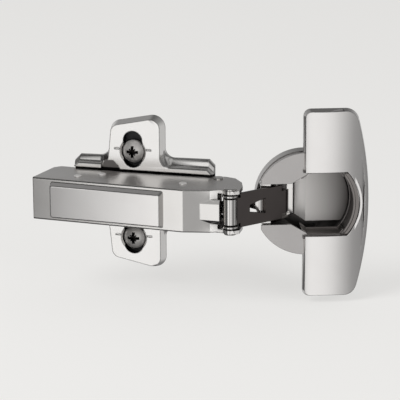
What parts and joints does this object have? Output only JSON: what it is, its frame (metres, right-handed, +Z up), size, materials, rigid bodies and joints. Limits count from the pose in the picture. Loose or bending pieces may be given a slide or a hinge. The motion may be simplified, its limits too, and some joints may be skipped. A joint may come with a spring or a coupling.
{
  "type": "concealed cup hinge",
  "caption": "Concealed cabinet-door cup hinge with a clip-on arm, two links, a damper, a cross-shaped mounting plate and cover caps, shown fully open.",
  "frame": {"origin": "on the back face of the mounting plate, midway between its two screw slots, in the hinge's mid plane", "axes": "+X to the cabinet's front, +Y into the cabinet side the plate is screwed to, +Z up along the door's axis of swing"},
  "size_m": [0.1165, 0.0417, 0.0682],
  "materials": {
    "plate_metal": "satin nickel plate on die-cast metal",
    "arm_steel": "satin nickel-plated sheet",
    "cover_steel": "satin nickel-plated sheet",
    "sheet_steel": "nickel-plated sheet",
    "cup_steel": "drawn nickel-plated sheet",
    "insert_steel": "satin nickel-plated sheet",
    "liner_steel": "dark satin plated sheet",
    "link_steel": "dark satin plated plate",
    "strap_steel": "bright nickel-plated strap",
    "pin_steel": "bright plated",
    "screw_steel": "bright plated",
    "spring_steel": "oiled wire",
    "block_metal": "as cast",
    "damper_plastic": "moulded",
    "damper_metal": "turned"
  },
  "bodies": {
    "base": {"mounting_plate": "plate_metal", "plate_screw_upper": "screw_steel", "plate_screw_lower": "screw_steel"},
    "carrier": {"arm_carrier": "sheet_steel", "tilt_pin": "pin_steel", "lever_pin": "pin_steel", "lever_spring": "spring_steel"},
    "latch": {"release_lever": "sheet_steel"},
    "depth_adjuster": {"depth_screw": "screw_steel"},
    "side_adjuster": {"side_screw": "screw_steel"},
    "arm": {"hinge_arm": "arm_steel", "arm_cover_cap": "cover_steel", "arm_rivets": "pin_steel", "outer_arm_pin": "pin_steel", "inner_arm_pin": "pin_steel", "upper_collar": "pin_steel", "lower_collar": "pin_steel", "adjuster_block": "block_metal", "damper_housing": "damper_plastic", "damper_cylinder": "damper_metal", "spring_pin": "pin_steel", "closing_spring": "spring_steel"},
    "damper": {"damper_rod": "damper_metal"},
    "outer_link": {"outer_link": "link_steel"},
    "cup": {"hinge_cup": "cup_steel", "mouth_liner": "liner_steel", "pin_bracket": "sheet_steel", "cup_insert": "insert_steel", "cup_cover_cap": "cover_steel", "cup_screw_upper": "screw_steel", "cup_screw_lower": "screw_steel", "outer_cup_pin": "pin_steel", "inner_cup_pin": "pin_steel"},
    "inner_link": {"inner_link": "strap_steel"}
  },
  "joints": [
    {"name": "depth_slide", "type": "slide", "parent": "base", "child": "carrier", "axis": [1, 0, 0], "range_m": [-0.0015, 0.0015]},
    {"name": "depth_screw_turn", "type": "hinge", "parent": "carrier", "child": "depth_adjuster", "pos_m": [-0.0126, -0.01, 0], "axis": [0, 1, 0], "range_deg": [-90.01, 90.01]},
    {"name": "latch_pivot", "type": "hinge", "parent": "carrier", "child": "latch", "pos_m": [-0.0234, -0.0084, 0], "axis": [0, 0, 1], "range_deg": [0, 15], "stiffness_Nm_per_rad": 0.03, "springref_deg": -8.59},
    {"name": "side_tilt", "type": "hinge", "parent": "carrier", "child": "arm", "pos_m": [-0.0192, -0.0102, 0], "axis": [0, 0, -1], "range_deg": [-0.8, 0.8]},
    {"name": "side_screw_turn", "type": "hinge", "parent": "arm", "child": "side_adjuster", "pos_m": [-0.0035, -0.017, 0], "axis": [0, 1, 0], "range_deg": [-100.01, 100.01]},
    {"name": "outer_link_fold", "type": "hinge", "parent": "arm", "child": "outer_link", "pos_m": [0.0403, -0.0194, 0], "axis": [0, 0, -1], "range_deg": [-13.25, 0]},
    {"name": "cup_fold", "type": "hinge", "parent": "outer_link", "child": "cup", "pos_m": [0.05133, 0.00082, 0], "axis": [0, 0, -1], "range_deg": [0, 123.25]},
    {"name": "inner_link_fold", "type": "hinge", "parent": "cup", "child": "inner_link", "pos_m": [0.04847, -0.00458, 0], "axis": [0, 0, -1], "range_deg": [-158.97, 0]},
    {"name": "damper_slide", "type": "slide", "parent": "arm", "child": "damper", "axis": [1, 0, 0], "range_m": [-0.00138, 0]}
  ],
  "couplings": [
    {"joint": "depth_screw_turn", "follows": "depth_slide", "rad_per_m": -1047.2},
    {"joint": "side_screw_turn", "follows": "side_tilt", "ratio": 125},
    {"joint": "outer_link_fold", "follows": "cup_fold", "ratio": -0.10751},
    {"joint": "inner_link_fold", "follows": "cup_fold", "ratio": -1.2898},
    {"joint": "damper_slide", "follows": "cup_fold", "m_per_rad": -0.00064153}
  ]
}
